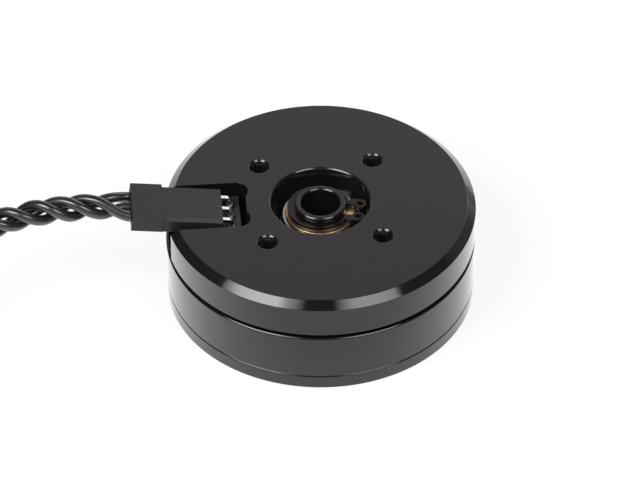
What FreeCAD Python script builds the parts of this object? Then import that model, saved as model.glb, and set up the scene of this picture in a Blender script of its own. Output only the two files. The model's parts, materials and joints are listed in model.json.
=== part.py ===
"""Hollow-shaft gimbal motor with a plug-in three-wire lead, one solid per physical piece.

Millimetres, +Z up. The motor stands on its rotor, so the origin is the centre of the
rotor's outer face and Z is the spin axis. The connector slot points along -X.
"""

import FreeCAD
import Part
import math
import os
import re
import Sketcher
from FreeCAD import Placement, Rotation, Vector

# Driving dimensions: name, size and meaning
DRIVING = (
    ("motor_dia", "48", "outside diameter of rotor bell and stator base"),
    ("cap_rim_height", "2.45", "visible rim of the rotor end cap"),
    ("cap_lip", "0.8", "rim of the end cap above its floor"),
    ("core_height", "6", "stator lamination stack"),
    ("coil_overhang", "1.3", "winding head beyond the stack at each end"),
    ("end_gap", "0.4", "clearance between windings and what turns or stands beside them"),
    ("axial_gap", "0.65", "open gap between rotor bell and stator base"),
    ("base_height", "6.2", "side wall of the stator base"),
    ("bevel_width", "1.28", "bevel of the base, measured on its face"),
    ("bevel_height", "1.06", "bevel of the base, measured on its side"),
    ("edge_break", "0.2", "small chamfer on turned edges"),
    ("seam_break", "0.15", "chamfers at the seam of the bell"),
    ("rim_wall", "1.8", "thickness of the base's side wall"),
    ("web_thickness", "2.5", "thickness of the base's face plate"),
    ("core_bore", "20", "bore of the lamination stack"),
    ("core_shoulder", "0.8", "step of the hub that the stack stands against"),
    ("flange_dia", "31", "thick centre of the base that holds the screw threads"),
    ("recess_dia", "15.2", "recess around the shaft end"),
    ("recess_depth", "4", "depth of that recess"),
    ("bearing_stand", "1.4", "upper bearing above the floor of that recess"),
    ("recess_chamfer", "0.25", "chamfer of that recess"),
    ("land_step", "0.6", "step in the hub between the two bearings"),
    ("hub_gap", "0.4", "clearance between hub and end cap"),
    ("part_fit", "0.01", "radial play of pressed and bonded fits"),
    ("screw_dia", "3", "tapped mounting holes"),
    ("screw_chamfer", "0.12", "chamfer at the mouth of a tapped hole"),
    ("screw_circle", "25", "circle of the tapped holes in the base"),
    ("screw_count", "4", "tapped holes in the base"),
    ("rotor_circle", "19", "circle of the tapped holes in the end cap"),
    ("rotor_screw_count", "4", "tapped holes in the end cap"),
    ("slot_width", "10.2", "connector slot"),
    ("slot_shift", "0.15", "slot centre beside the motor's middle plane"),
    ("slot_wall", "3.4", "material between the recess and the slot"),
    ("slot_corner", "1.95", "radius of the milled lobes at the slot's inner end"),
    ("slot_lobe", "0.45", "reach of the lobes beyond the end wall between them"),
    ("slot_relief", "1.2", "slot floor below the board"),
    ("board_thickness", "0.8", "terminal board"),
    ("board_setback", "1.4", "board edge behind the slot's inner end"),
    ("board_clear", "0.5", "board to side wall and hub"),
    ("tongue_clear", "0.3", "board to slot sides"),
    ("board_half_span", "12", "half width of the board under the face plate"),
    ("pin_margin", "1.52", "row of pins behind the board edge"),
    ("pin_pitch", "2.54", "pin spacing"),
    ("pin_size", "0.64", "square header pin"),
    ("pin_play", "0.1", "radial play of a pin in the board"),
    ("pin_lead", "0.95", "straight pin between plug and bend"),
    ("pin_rise", "0.3", "pins above the middle of the plug"),
    ("pin_bend", "0.6", "bend radius of a pin"),
    ("pin_engage", "6.2", "pin length inside the plug"),
    ("pin_tail", "0.6", "pin below the board"),
    ("solder_radius", "0.85", "foot of a solder fillet"),
    ("solder_height", "0.6", "height of a solder fillet"),
    ("phase_wire_dia", "0.5", "wire from the windings to the board"),
    ("plug_tilt", "7.25", "upward tilt of pins and plug in degrees"),
    ("plug_lift", "0.27", "plug above the board at its front"),
    ("plug_length", "14", "plug housing"),
    ("plug_width", "8.1", "plug housing"),
    ("plug_height", "2.7", "plug housing"),
    ("plug_bevel", "0.5", "bevel on the upper long edges of the plug"),
    ("nose_step", "0.08", "step from the collar down to the nose of the plug"),
    ("collar_length", "4.9", "unbevelled rear of the plug"),
    ("cavity_width", "2.1", "contact cavity"),
    ("cavity_height", "1.6", "contact cavity"),
    ("front_wall", "0.5", "wall in front of the contacts"),
    ("pin_window", "1.1", "square hole for a pin in that wall"),
    ("latch_start", "5", "latch window behind the front face"),
    ("latch_length", "3", "latch window"),
    ("latch_width", "1.3", "latch window"),
    ("contact_play", "0.1", "contact in its cavity"),
    ("socket_bore", "0.9", "square opening of a contact"),
    ("socket_length", "6.6", "box of a contact"),
    ("barrel_dia", "1.5", "crimp barrel of a contact"),
    ("barrel_length", "4.5", "crimp barrel of a contact"),
    ("flux_wall", "1.6", "wall of the steel flux ring"),
    ("spigot_height", "0.45", "step of the end cap inside the flux ring"),
    ("spigot_wall", "1.2", "thickness of that step"),
    ("magnet_thickness", "1.4", "rotor magnet"),
    ("magnet_count", "22", "rotor magnets"),
    ("magnet_spacing", "0.7", "space between neighbouring magnets"),
    ("glue_gap", "0.05", "bond line round the magnets"),
    ("air_gap", "0.25", "magnets to stator teeth"),
    ("cap_pad_height", "1.2", "thick centre of the end cap above its floor"),
    ("boss_height", "0.6", "boss that carries the lower bearing's inner ring"),
    ("boss_wall", "0.45", "wall of that boss"),
    ("tooth_count", "24", "stator teeth"),
    ("tooth_width", "1.6", "stator tooth"),
    ("yoke_width", "1.7", "ring that joins the teeth"),
    ("tip_height", "0.9", "edge of a tooth tip"),
    ("tip_slope", "0.6", "rise from tooth to tip edge"),
    ("tip_gap", "0.9", "opening between tooth tips"),
    ("coil_play", "0.1", "winding to tooth"),
    ("coil_spacing", "0.25", "space between neighbouring windings"),
    ("coil_round", "0.6", "corner radius of a winding"),
    ("shaft_dia", "8", "hollow shaft"),
    ("shaft_bore", "6", "bore of the shaft"),
    ("shaft_drop", "0.3", "shaft end below the face of the base"),
    ("shaft_chamfer", "0.2", "chamfer of the shaft ends"),
    ("groove_depth", "0.2", "retaining ring groove"),
    ("washer_dia", "10.8", "brass shim washer"),
    ("washer_thickness", "0.5", "brass shim washer"),
    ("clip_thickness", "0.8", "retaining ring"),
    ("clip_play", "0.05", "retaining ring in its groove"),
    ("clip_band", "0.9", "retaining ring beside its ears"),
    ("clip_offset", "0.2", "eccentricity of the retaining ring"),
    ("clip_gap", "2.5", "opening between the ears"),
    ("clip_angle", "-11", "direction of the ears in degrees"),
    ("ear_radius", "1", "round eye of an ear"),
    ("ear_reach", "6", "centre of an eye along the ears"),
    ("ear_place", "1.5", "centre of an eye beside the middle of the opening"),
    ("ear_hole_dia", "1", "plier hole"),
    ("bearing_dia", "12", "ball bearing"),
    ("bearing_width", "3.5", "ball bearing"),
    ("ball_dia", "1.2", "bearing ball"),
    ("ball_count", "10", "balls in a bearing"),
    ("ball_play", "0.05", "ball in its grooves and cage"),
    ("ring_land", "0.5", "half the space between the two bearing rings"),
    ("ring_chamfer", "0.15", "chamfer of the bearing rings"),
    ("shield_thickness", "0.2", "bearing shield"),
    ("shield_inset", "0.25", "shield below the bearing face"),
    ("shield_play", "0.08", "shield to inner ring"),
    ("cage_wall", "0.44", "ball cage"),
    ("cage_height", "1.5", "ball cage"),
    ("lead_dia", "4.2", "bundle of three twisted wires"),
    ("lead_first_run", "7.2", "straight run out of the plug"),
    ("coil_x", "-88.5", "centre of the coiled lead"),
    ("coil_turn_radius", "23.8", "outer turn of the coiled lead"),
    ("coil_top_radius", "18.2", "upper turn of the coiled lead"),
    ("coil_entry_angle", "-34.7", "where the lead comes in to the coil in degrees"),
    ("coil_entry_rise", "0.6", "height of the lead there above the lower turns"),
    ("coil_top_start", "-68.7", "where the upper turn begins in degrees"),
    ("coil_top_angle", "180", "length of the upper turn in degrees"),
    ("tie_angle", "200", "place of the tie on the coil in degrees"),
    ("tie_width", "5", "strap round the coil"),
    ("tie_thickness", "0.5", "strap round the coil"),
    ("tie_play", "0.1", "strap to coil"),
    ("tie_slack", "0.25", "strap to the curved inside of the coil"),
)

# Levels and radii that follow from the driving dimensions
FOLLOWING = (
    ("cap_floor", "cap_rim_height - cap_lip"),
    ("pad_top", "cap_floor + cap_pad_height"),
    ("boss_top", "pad_top + boss_height"),
    ("core_bottom", "cap_floor + end_gap + coil_overhang"),
    ("core_top", "core_bottom + core_height"),
    ("coil_bottom", "core_bottom - coil_overhang"),
    ("coil_top", "core_top + coil_overhang"),
    ("ring_top", "coil_top + end_gap - cap_lip"),
    ("rim_bottom", "ring_top + axial_gap"),
    ("top_face", "rim_bottom + base_height"),
    ("web_bottom", "top_face - web_thickness"),
    ("flange_bottom", "coil_top + end_gap"),
    ("hub_bottom", "pad_top + hub_gap"),
    ("recess_floor", "top_face - recess_depth"),
    ("bearing_top", "recess_floor + bearing_stand"),
    ("upper_bearing", "bearing_top - bearing_width"),
    ("lower_bearing_top", "boss_top + bearing_width"),
    ("board_bottom", "web_bottom - board_thickness"),
    ("clip_bottom", "bearing_top + washer_thickness"),
    ("shaft_top", "top_face - shaft_drop"),
    ("rim_r", "motor_dia / 2"),
    ("rim_inner_r", "rim_r - rim_wall"),
    ("ring_inner_r", "rim_r - flux_wall"),
    ("magnet_outer_r", "ring_inner_r - glue_gap"),
    ("magnet_inner_r", "magnet_outer_r - magnet_thickness"),
    ("magnet_bottom", "cap_rim_height + spigot_height + glue_gap"),
    ("magnet_top", "ring_top - spigot_height - glue_gap"),
    ("core_r", "magnet_inner_r - air_gap"),
    ("yoke_r", "core_bore / 2 + yoke_width"),
    ("tip_x", "core_r - tip_height"),
    ("tip_half", "core_r * tan(180 / tooth_count) - tip_gap / 2"),
    ("coil_in", "yoke_r + coil_play"),
    ("coil_out", "tip_x - tip_slope - coil_play"),
    ("pad_r", "coil_in - end_gap"),
    ("recess_r", "recess_dia / 2"),
    ("flange_r", "flange_dia / 2"),
    ("hub_r", "core_bore / 2 - part_fit"),
    ("seat_r", "bearing_dia / 2 + part_fit"),
    ("shaft_r", "shaft_dia / 2"),
    ("shaft_hole_r", "shaft_r + part_fit"),
    ("groove_r", "shaft_r - groove_depth"),
    ("pitch_r", "(bearing_dia + shaft_dia) / 4"),
    ("race_r", "ball_dia / 2 + ball_play"),
    ("slot_end", "recess_r + slot_wall"),
    ("board_edge", "slot_end + board_setback"),
    ("board_outer_r", "rim_inner_r - board_clear"),
    ("board_inner_r", "flange_r + board_clear"),
    ("slot_far", "slot_width / 2 + slot_shift"),
    ("slot_near", "slot_shift - slot_width / 2"),
    ("slot_floor", "board_bottom - slot_relief"),
    ("tongue_far", "slot_far - tongue_clear"),
    ("tongue_near", "slot_near + tongue_clear"),
    ("pin_row", "board_edge + pin_margin"),
    ("pin_level", "plug_height / 2 + pin_rise"),
    ("plug_front", "pin_row + pin_lead * cos(plug_tilt) + pin_bend * (1 - sin(plug_tilt))"
                   " + pin_level * sin(plug_tilt)"),
    ("plug_seat", "web_bottom + plug_lift"),
    ("pin_foot", "plug_lift - pin_lead * sin(plug_tilt) + (pin_level - pin_bend) * cos(plug_tilt)"
                 " + board_thickness + pin_tail"),
    ("socket_end", "front_wall + contact_play + socket_length"),
    ("coil_floor", "tie_thickness + tie_play"),
    ("coil_outer_r", "coil_turn_radius + lead_dia / 2"),
    ("coil_inner_r", "coil_turn_radius - 2 * lead_dia - lead_dia / 2"),
    ("coil_layer", "coil_floor + lead_dia"),
)

# Route of the lead after its first run: shares of the way along X, Y and Z from there to its coil
LEAD_SHARES = (
    (0.44, 0.07, 0.08),
    (0.645, 0.34, 0.285),
    (0.82, 0.64, 0.68),
    (1.0, 1.0, 1.0),
)
ARC_SHARE = 0.45
VOLUME_TOLERANCE = 0.01

doc = FreeCAD.newDocument("gimbal_motor")
dims = doc.addObject("Spreadsheet::Sheet", "dims")
levels = doc.addObject("Spreadsheet::Sheet", "levels")
OWNER = {row[0]: "dims" for row in DRIVING} | {row[0]: "levels" for row in FOLLOWING}
pieces = []


def tie(text):
    """Names the sheet of every size that an expression uses."""
    return re.sub(r"[a-z_]\w*", lambda word: f"{OWNER[word[0]]}.{word[0]}" if word[0] in OWNER else word[0], text)


def fill_sheets():
    """Writes the driving sizes as plain numbers and the sizes that follow as formulas."""
    for row, (name, size, meaning) in enumerate(DRIVING, start=1):
        dims.set(f"A{row}", name)
        dims.set(f"B{row}", size)
        dims.set(f"C{row}", meaning)
        dims.setAlias(f"B{row}", name)
    doc.recompute()
    for row, (name, formula) in enumerate(FOLLOWING, start=1):
        levels.set(f"A{row}", name)
        levels.setAlias(f"B{row}", name)
    for row, (name, formula) in enumerate(FOLLOWING, start=1):
        levels.set(f"B{row}", "=" + tie(formula))
    doc.recompute()


def size(text):
    """The number that an expression over the two sheets gives."""
    return float(levels.evalExpression(tie(text)))


def new_body(label, x="0", y="0", z="0", turn_axis=None, turn="0"):
    """A sub-part whose place in the motor is tied to the sheets."""
    body = doc.addObject("PartDesign::Body", label)
    body.Label = label
    if turn_axis is not None:
        body.Placement = Placement(Vector(), Rotation(turn_axis, size(turn)))
        body.setExpression("Placement.Rotation.Angle", tie(turn))
    for axis, text in (("x", x), ("y", y), ("z", z)):
        if text != "0":
            body.setExpression(f"Placement.Base.{axis}", tie(text))
    pieces.append(body)
    return body


def origin_of(body, role):
    """One of the body's own origin planes or axes."""
    return next(feature for feature in body.Origin.OriginFeatures if feature.Role == role)


def new_sketch(body, name, plane, offset="0"):
    """An empty sketch on one of the body's origin planes, moved along the plane's normal."""
    sketch = body.newObject("Sketcher::SketchObject", f"{body.Name}_{name}")
    sketch.AttachmentSupport = [(origin_of(body, plane), "")]
    sketch.MapMode = "FlatFace"
    if offset != "0":
        sketch.setExpression("AttachmentOffset.Base.z", tie(offset))
    return sketch


def tie_point(sketch, geometry, point, x, y):
    """Ties a point to its x and y; a coordinate that starts with ~ is left to the rest of the outline."""
    for kind, axis, text in (("DistanceX", -2, x), ("DistanceY", -1, y)):
        if text.startswith("~"):
            continue
        if text == "0":
            sketch.addConstraint(Sketcher.Constraint("PointOnObject", geometry, point, axis))
            continue
        index = sketch.addConstraint(Sketcher.Constraint(kind, -1, 1, geometry, point, size(text)))
        sketch.setExpression(f"Constraints[{index}]", tie(text))


def tie_radius(sketch, geometry, radius):
    """Ties the radius of a circle or an arc."""
    index = sketch.addConstraint(Sketcher.Constraint("Radius", geometry, size(radius)))
    sketch.setExpression(f"Constraints[{index}]", tie(radius))


def add_circle(sketch, x, y, radius):
    """A circle with a tied centre and radius."""
    centre = Vector(size(x), size(y), 0)
    geometry = sketch.addGeometry(Part.Circle(centre, Vector(0, 0, 1), size(radius)), False)
    tie_point(sketch, geometry, 3, x, y)
    tie_radius(sketch, geometry, radius)


def add_outline(sketch, corners, arcs=None, closed=True):
    """Draws lines from corner to corner, and an arc (centre, radius, turning left) on each edge in arcs."""
    arcs = arcs or {}
    spots = [Vector(size(x.lstrip("~")), size(y.lstrip("~")), 0) for x, y in corners]
    edges = len(corners) if closed else len(corners) - 1
    ends = []
    for edge in range(edges):
        start, end = spots[edge], spots[(edge + 1) % len(spots)]
        if edge not in arcs:
            geometry = sketch.addGeometry(Part.LineSegment(start, end), False)
            ends.append((geometry, 1, 2))
            continue
        x, y, radius, left = arcs[edge]
        centre = Vector(size(x), size(y), 0)
        first, last = (start, end) if left else (end, start)
        angles = [math.atan2(spot.y - centre.y, spot.x - centre.x) for spot in (first, last)]
        circle = Part.Circle(centre, Vector(0, 0, 1), size(radius))
        geometry = sketch.addGeometry(Part.ArcOfCircle(circle, *angles), False)
        tie_point(sketch, geometry, 3, x, y)
        tie_radius(sketch, geometry, radius)
        ends.append((geometry, 1, 2) if left else (geometry, 2, 1))
    for edge in range(edges if closed else edges - 1):
        before, after = ends[edge], ends[(edge + 1) % edges]
        sketch.addConstraint(Sketcher.Constraint("Coincident", before[0], before[2], after[0], after[1]))
    for edge, (x, y) in enumerate(corners[:edges]):
        tie_point(sketch, ends[edge][0], ends[edge][1], x, y)
    if not closed:
        tie_point(sketch, ends[-1][0], ends[-1][2], *corners[-1])
    return sketch


def add_box(sketch, left, low, right, high):
    """A rectangle between two tied corners."""
    return add_outline(sketch, [(left, low), (right, low), (right, high), (left, high)])


def add_round_box(sketch, half, low, high, radius):
    """A rectangle about the vertical axis with rounded corners."""
    near, far = f"({half} - {radius})", f"({half})"
    bottom, top = f"({low} + {radius})", f"({high} - {radius})"
    corners = [(f"-{near}", f"~{low}"), (near, f"~{low}"), (f"~{far}", bottom), (f"~{far}", top),
               (near, f"~{high}"), (f"-{near}", f"~{high}"), (f"~-{far}", top), (f"~-{far}", bottom)]
    arcs = {1: (near, bottom, radius, True), 3: (near, top, radius, True),
            5: (f"-{near}", top, radius, True), 7: (f"-{near}", bottom, radius, True)}
    return add_outline(sketch, corners, arcs)


def add_feature(body, kind, name, sketch=None):
    """A feature of the body, made from a sketch."""
    feature = body.newObject(f"PartDesign::{kind}", f"{body.Name}_{name}")
    if sketch is not None:
        feature.Profile = sketch
    return feature


def revolve(body, name, corners, arcs=None, offset="0"):
    """Turns a profile of radius and height about the sketch's vertical axis."""
    sketch = add_outline(new_sketch(body, f"{name}_profile", "XZ_Plane", offset), corners, arcs)
    turned = add_feature(body, "Revolution", name, sketch)
    turned.ReferenceAxis = (sketch, ["V_Axis"])
    turned.Angle = 360
    return turned


def pad(body, name, sketch, length, both_sides=False):
    """Raises a sketch along its normal."""
    raised = add_feature(body, "Pad", name, sketch)
    raised.setExpression("Length", tie(length))
    if both_sides:
        raised.SideType = "Symmetric"
    return raised


def pocket(body, name, sketch, depth=None, backwards=False):
    """Cuts a sketch into the body, to a depth or right through, and tests that it cuts."""
    doc.recompute()
    before = body.Shape.Volume
    cut = add_feature(body, "Pocket", name, sketch)
    cut.Reversed = backwards
    if depth is None:
        cut.Type = "ThroughAll"
    else:
        cut.setExpression("Length", tie(depth))
    doc.recompute()
    if body.Shape.Volume >= before:
        raise RuntimeError(f"{cut.Name} cuts nothing")
    return cut


def polar(body, name, features, count):
    """Repeats features evenly round the body's Z axis."""
    doc.recompute()
    pattern = add_feature(body, "PolarPattern", name)
    pattern.Originals = features
    pattern.Axis = (origin_of(body, "Z_Axis"), [""])
    pattern.Angle = 360
    pattern.setExpression("Occurrences", tie(count))
    body.Tip = pattern
    return pattern


def row_of_three(body, name, features):
    """Repeats features at the pin pitch along the body's Y axis."""
    doc.recompute()
    pattern = add_feature(body, "LinearPattern", name)
    pattern.Originals = features
    pattern.Direction = (origin_of(body, "Y_Axis"), [""])
    pattern.Mode = "Extent"
    pattern.setExpression("Length", tie("2 * pin_pitch"))
    pattern.Occurrences = 3
    body.Tip = pattern
    return pattern


def tapped_holes(body, name, face, circle, count, downwards):
    """Tapped holes with chamfered mouths on a circle, cut from a face through the body."""
    sketch = new_sketch(body, f"{name}_centres", "XY_Plane", face)
    add_circle(sketch, f"{circle} / 2 * cos(45)", f"{circle} / 2 * sin(45)", "screw_dia / 2")
    doc.recompute()
    before = body.Shape.Volume
    hole = add_feature(body, "Hole", name, sketch)
    hole.DepthType = "ThroughAll"
    hole.Reversed = not downwards
    hole.setExpression("Diameter", tie("screw_dia"))
    hole.HoleCutType = "Countersink"
    hole.HoleCutCustomValues = True
    hole.HoleCutCountersinkAngle = 90
    hole.setExpression("HoleCutDiameter", tie("screw_dia + 2 * screw_chamfer"))
    polar(body, f"{name}_circle", [hole], count)
    doc.recompute()
    if body.Shape.Volume >= before:
        raise RuntimeError(f"{hole.Name} cuts nothing")


# Stator

def stator_base():
    """Turned base: face plate, side wall, hub with both bearing seats, connector slot, tapped holes."""
    body = new_body("stator_base")
    revolve(body, "turned", [
        ("recess_r + recess_chamfer", "top_face"), ("rim_r - bevel_width", "top_face"),
        ("rim_r", "top_face - bevel_height"), ("rim_r", "rim_bottom + edge_break"),
        ("rim_r - edge_break", "rim_bottom"), ("rim_inner_r", "rim_bottom"),
        ("rim_inner_r", "web_bottom"), ("flange_r", "web_bottom"),
        ("flange_r", "flange_bottom"), ("hub_r + core_shoulder", "flange_bottom"),
        ("hub_r + core_shoulder", "core_top"), ("hub_r", "core_top"),
        ("hub_r", "hub_bottom"), ("seat_r", "hub_bottom"),
        ("seat_r", "lower_bearing_top"), ("seat_r - land_step", "lower_bearing_top"),
        ("seat_r - land_step", "upper_bearing"), ("seat_r", "upper_bearing"),
        ("seat_r", "recess_floor"), ("recess_r", "recess_floor"),
        ("recess_r", "top_face - recess_chamfer"),
    ])
    slot = new_sketch(body, "slot_outline", "XY_Plane", "top_face")
    centre, neck = "-(slot_end + slot_corner)", "-(slot_end + slot_lobe)"
    low, high = "(slot_near + slot_corner)", "(slot_far - slot_corner)"
    rise = "sqrt(slot_corner ^ 2 - (slot_corner - slot_lobe) ^ 2)"
    add_outline(slot, [
        ("-motor_dia", "slot_near"), (centre, "~slot_near"), (neck, f"~{low} + {rise}"),
        (neck, f"~{high} - {rise}"), (centre, "~slot_far"), ("-motor_dia", "slot_far"),
    ], {1: (centre, low, "slot_corner", True), 3: (centre, high, "slot_corner", True)})
    pocket(body, "slot", slot, "top_face - slot_floor")
    mouth = new_sketch(body, "mouth_outline", "XY_Plane", "top_face")
    add_box(mouth, "-motor_dia", "slot_near", "-(flange_r + board_clear)", "slot_far")
    pocket(body, "mouth", mouth)
    tapped_holes(body, "screws", "top_face", "screw_circle", "screw_count", downwards=True)


def stator_core():
    """Lamination stack: a ring with T-shaped teeth."""
    body = new_body("stator_core")
    ring = new_sketch(body, "ring", "XY_Plane", "core_bottom")
    add_circle(ring, "0", "0", "yoke_r")
    add_circle(ring, "0", "0", "core_bore / 2")
    pad(body, "yoke", ring, "core_height")
    tooth = new_sketch(body, "tooth_outline", "XY_Plane", "core_bottom")
    root, neck, half, tip = "yoke_r - yoke_width / 2", "tip_x - tip_slope", "tooth_width / 2", "tip_half"
    reach = "sqrt(core_r ^ 2 - tip_half ^ 2)"
    add_outline(tooth, [
        (root, f"-{half}"), (neck, f"-{half}"), ("tip_x", f"-{tip}"), (f"~{reach}", f"-{tip}"),
        (f"~{reach}", tip), ("tip_x", tip), (neck, half), (root, half),
    ], {3: ("0", "0", "core_r", True)})
    polar(body, "teeth", [pad(body, "tooth", tooth, "core_height")], "tooth_count")


def stator_windings():
    """One hollow winding round each tooth, widening outwards with its slot."""
    body = new_body("stator_windings")
    ends = []
    for name, place in (("inner", "coil_in"), ("outer", "coil_out")):
        sketch = new_sketch(body, f"{name}_end", "YZ_Plane", place)
        add_round_box(sketch, f"({place} * tan(180 / tooth_count) - coil_spacing / 2)",
                      "coil_bottom", "coil_top", "coil_round")
        add_box(sketch, "-(tooth_width / 2 + coil_play)", "core_bottom - coil_play",
                "tooth_width / 2 + coil_play", "core_top + coil_play")
        ends.append(sketch)
    winding = add_feature(body, "AdditiveLoft", "winding", ends[0])
    winding.Sections = [ends[1]]
    winding.Ruled = True
    polar(body, "ring", [winding], "tooth_count")


def terminal_board():
    """Board under the face plate with a tongue that shows in the connector slot."""
    body = new_body("terminal_board", z="board_bottom")
    outline = new_sketch(body, "outline", "XY_Plane")
    inner = "~-sqrt(board_inner_r ^ 2 - {0} ^ 2)"
    outer = "~-sqrt(board_outer_r ^ 2 - board_half_span ^ 2)"
    span = "board_half_span"
    add_outline(outline, [
        ("-board_edge", "tongue_near"), ("-board_edge", "tongue_far"), (inner.format("tongue_far"), "tongue_far"),
        (inner.format(span), span), (outer, span), (outer, f"-{span}"), (inner.format(span), f"-{span}"),
        (inner.format("tongue_near"), "tongue_near"),
    ], {2: ("0", "0", "board_inner_r", False), 4: ("0", "0", "board_outer_r", True),
        6: ("0", "0", "board_inner_r", False)})
    pad(body, "board", outline, "board_thickness")
    holes = new_sketch(body, "pin_holes", "XY_Plane", "board_thickness")
    for place in ("-pin_pitch", "0", "pin_pitch"):
        add_circle(holes, "-pin_row", place, "pin_size * sqrt(2) / 2 + pin_play")
    pocket(body, "drilled", holes)


def header_pins():
    """Three square pins that run out of the plug and bend down through the board."""
    body = new_body("header_pins", "-plug_front", "0", "plug_seat", Vector(0, 1, 0), "plug_tilt")
    path = new_sketch(body, "path", "XZ_Plane", "pin_pitch")
    middle = "pin_level"
    centre_z = f"({middle} - pin_bend)"
    bend_x = "(pin_lead + pin_bend * cos(plug_tilt))"
    bend_z = f"({centre_z} + pin_bend * sin(plug_tilt))"
    add_outline(path, [
        ("-pin_engage", middle), ("pin_lead", f"~{middle}"), (f"~{bend_x}", bend_z),
        (f"{bend_x} + pin_foot * sin(plug_tilt)", f"{bend_z} - pin_foot * cos(plug_tilt)"),
    ], {1: ("pin_lead", centre_z, "pin_bend", False)}, closed=False)
    section = new_sketch(body, "section", "YZ_Plane", "-pin_engage")
    add_box(section, "-pin_pitch - pin_size / 2", f"{middle} - pin_size / 2",
            "-pin_pitch + pin_size / 2", f"{middle} + pin_size / 2")
    doc.recompute()
    pin = add_feature(body, "AdditivePipe", "pin", section)
    pin.Spine = (path, ["Edge1", "Edge2", "Edge3"])
    row_of_three(body, "row", [pin])


def solder_joints():
    """Solder fillets round the pins on the board."""
    body = new_body("solder_joints", "-pin_row", "0", "web_bottom")
    fillet = revolve(body, "fillet", [
        ("0", "0"), ("solder_radius", "0"), ("pin_size * 0.75", "solder_height"), ("0", "solder_height"),
    ], offset="pin_pitch")
    hole = new_sketch(body, "pin_hole", "XY_Plane", "solder_height")
    add_box(hole, "-pin_size / 2", "-pin_pitch - pin_size / 2", "pin_size / 2", "-pin_pitch + pin_size / 2")
    row_of_three(body, "row", [fillet, pocket(body, "hole", hole)])


def phase_wires():
    """Three wire ends that rise from neighbouring windings to the board."""
    body = new_body("phase_wires", z="coil_top")
    ends = new_sketch(body, "ends", "XY_Plane")
    reach, step = "(board_inner_r + phase_wire_dia)", "360 / tooth_count"
    for side in ("-", "0 * ", ""):
        add_circle(ends, f"-{reach} * cos({side}{step})", f"{reach} * sin({side}{step})", "phase_wire_dia / 2")
    pad(body, "wires", ends, "board_bottom - coil_top")


# Ball bearings

def bearing(place, bottom):
    """One shielded ball bearing: rings, shields, cage and balls, standing on a given level."""
    middle = "bearing_width / 2"
    groove = "sqrt(race_r ^ 2 - ring_land ^ 2)"
    outer = new_body(f"{place}_bearing_outer_ring", z=bottom)
    land, edge = "pitch_r + ring_land", "bearing_dia / 2"
    revolve(outer, "ring", [
        (land, "0"), (f"{edge} - ring_chamfer", "0"), (edge, "ring_chamfer"),
        (edge, "bearing_width - ring_chamfer"), (f"{edge} - ring_chamfer", "bearing_width"),
        (land, "bearing_width"), (land, f"~{middle} + {groove}"), (land, f"~{middle} - {groove}"),
    ], {6: ("pitch_r", middle, "race_r", False)})
    inner = new_body(f"{place}_bearing_inner_ring", z=bottom)
    land = "pitch_r - ring_land"
    revolve(inner, "ring", [
        ("shaft_hole_r", "0"), (land, "0"), (land, f"~{middle} - {groove}"), (land, f"~{middle} + {groove}"),
        (land, "bearing_width"), ("shaft_hole_r", "bearing_width"),
    ], {2: ("pitch_r", middle, "race_r", False)})
    shields = new_body(f"{place}_bearing_shields", z=bottom)
    for name, low in (("lower", "shield_inset"), ("upper", "bearing_width - shield_inset - shield_thickness")):
        sketch = new_sketch(shields, f"{name}_outline", "XY_Plane", low)
        add_circle(sketch, "0", "0", "pitch_r + ring_land - part_fit")
        add_circle(sketch, "0", "0", "pitch_r - ring_land + shield_play")
        pad(shields, name, sketch, "shield_thickness")
    cage = new_body(f"{place}_bearing_cage", z=bottom)
    inside, outside = "pitch_r - cage_wall / 2", "pitch_r + cage_wall / 2"
    low, high = f"{middle} - cage_height / 2", f"{middle} + cage_height / 2"
    revolve(cage, "band", [(inside, low), (outside, low), (outside, high), (inside, high)])
    hole = new_sketch(cage, "hole_outline", "YZ_Plane")
    add_circle(hole, "0", middle, "ball_dia / 2 + ball_play")
    polar(cage, "holes", [pocket(cage, "hole", hole, "bearing_dia / 2", backwards=True)], "ball_count")
    balls = new_body(f"{place}_bearing_balls", z=bottom)
    ball = add_feature(balls, "AdditiveSphere", "ball")
    ball.AttachmentSupport = [(origin_of(balls, "XY_Plane"), "")]
    ball.MapMode = "FlatFace"
    ball.setExpression("Radius", tie("ball_dia / 2"))
    ball.setExpression("AttachmentOffset.Base.x", tie("pitch_r"))
    ball.setExpression("AttachmentOffset.Base.z", tie(middle))
    polar(balls, "set", [ball], "ball_count")


# Rotor

def rotor_end_cap():
    """Turned end cap: rim, spigot for the flux ring, thick centre and bearing boss, tapped holes."""
    body = new_body("rotor_end_cap")
    spigot = "ring_inner_r - part_fit"
    revolve(body, "turned", [
        ("shaft_hole_r", "0"), ("rim_r - edge_break", "0"), ("rim_r", "edge_break"),
        ("rim_r", "cap_rim_height - seam_break"), ("rim_r - seam_break", "cap_rim_height"),
        (spigot, "cap_rim_height"), (spigot, "cap_rim_height + spigot_height"),
        (f"{spigot} - spigot_wall", "cap_rim_height + spigot_height"),
        (f"{spigot} - spigot_wall", "cap_floor"), ("pad_r", "cap_floor"), ("pad_r", "pad_top"),
        ("shaft_hole_r + boss_wall", "pad_top"), ("shaft_hole_r + boss_wall", "boss_top"),
        ("shaft_hole_r", "boss_top"),
    ])
    tapped_holes(body, "screws", "0", "rotor_circle", "rotor_screw_count", downwards=False)


def flux_ring():
    """Steel ring that carries the magnets."""
    body = new_body("flux_ring")
    revolve(body, "turned", [
        ("ring_inner_r", "cap_rim_height"), ("rim_r - seam_break", "cap_rim_height"),
        ("rim_r", "cap_rim_height + seam_break"), ("rim_r", "ring_top - edge_break"),
        ("rim_r - edge_break", "ring_top"), ("ring_inner_r", "ring_top"),
    ])


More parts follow.
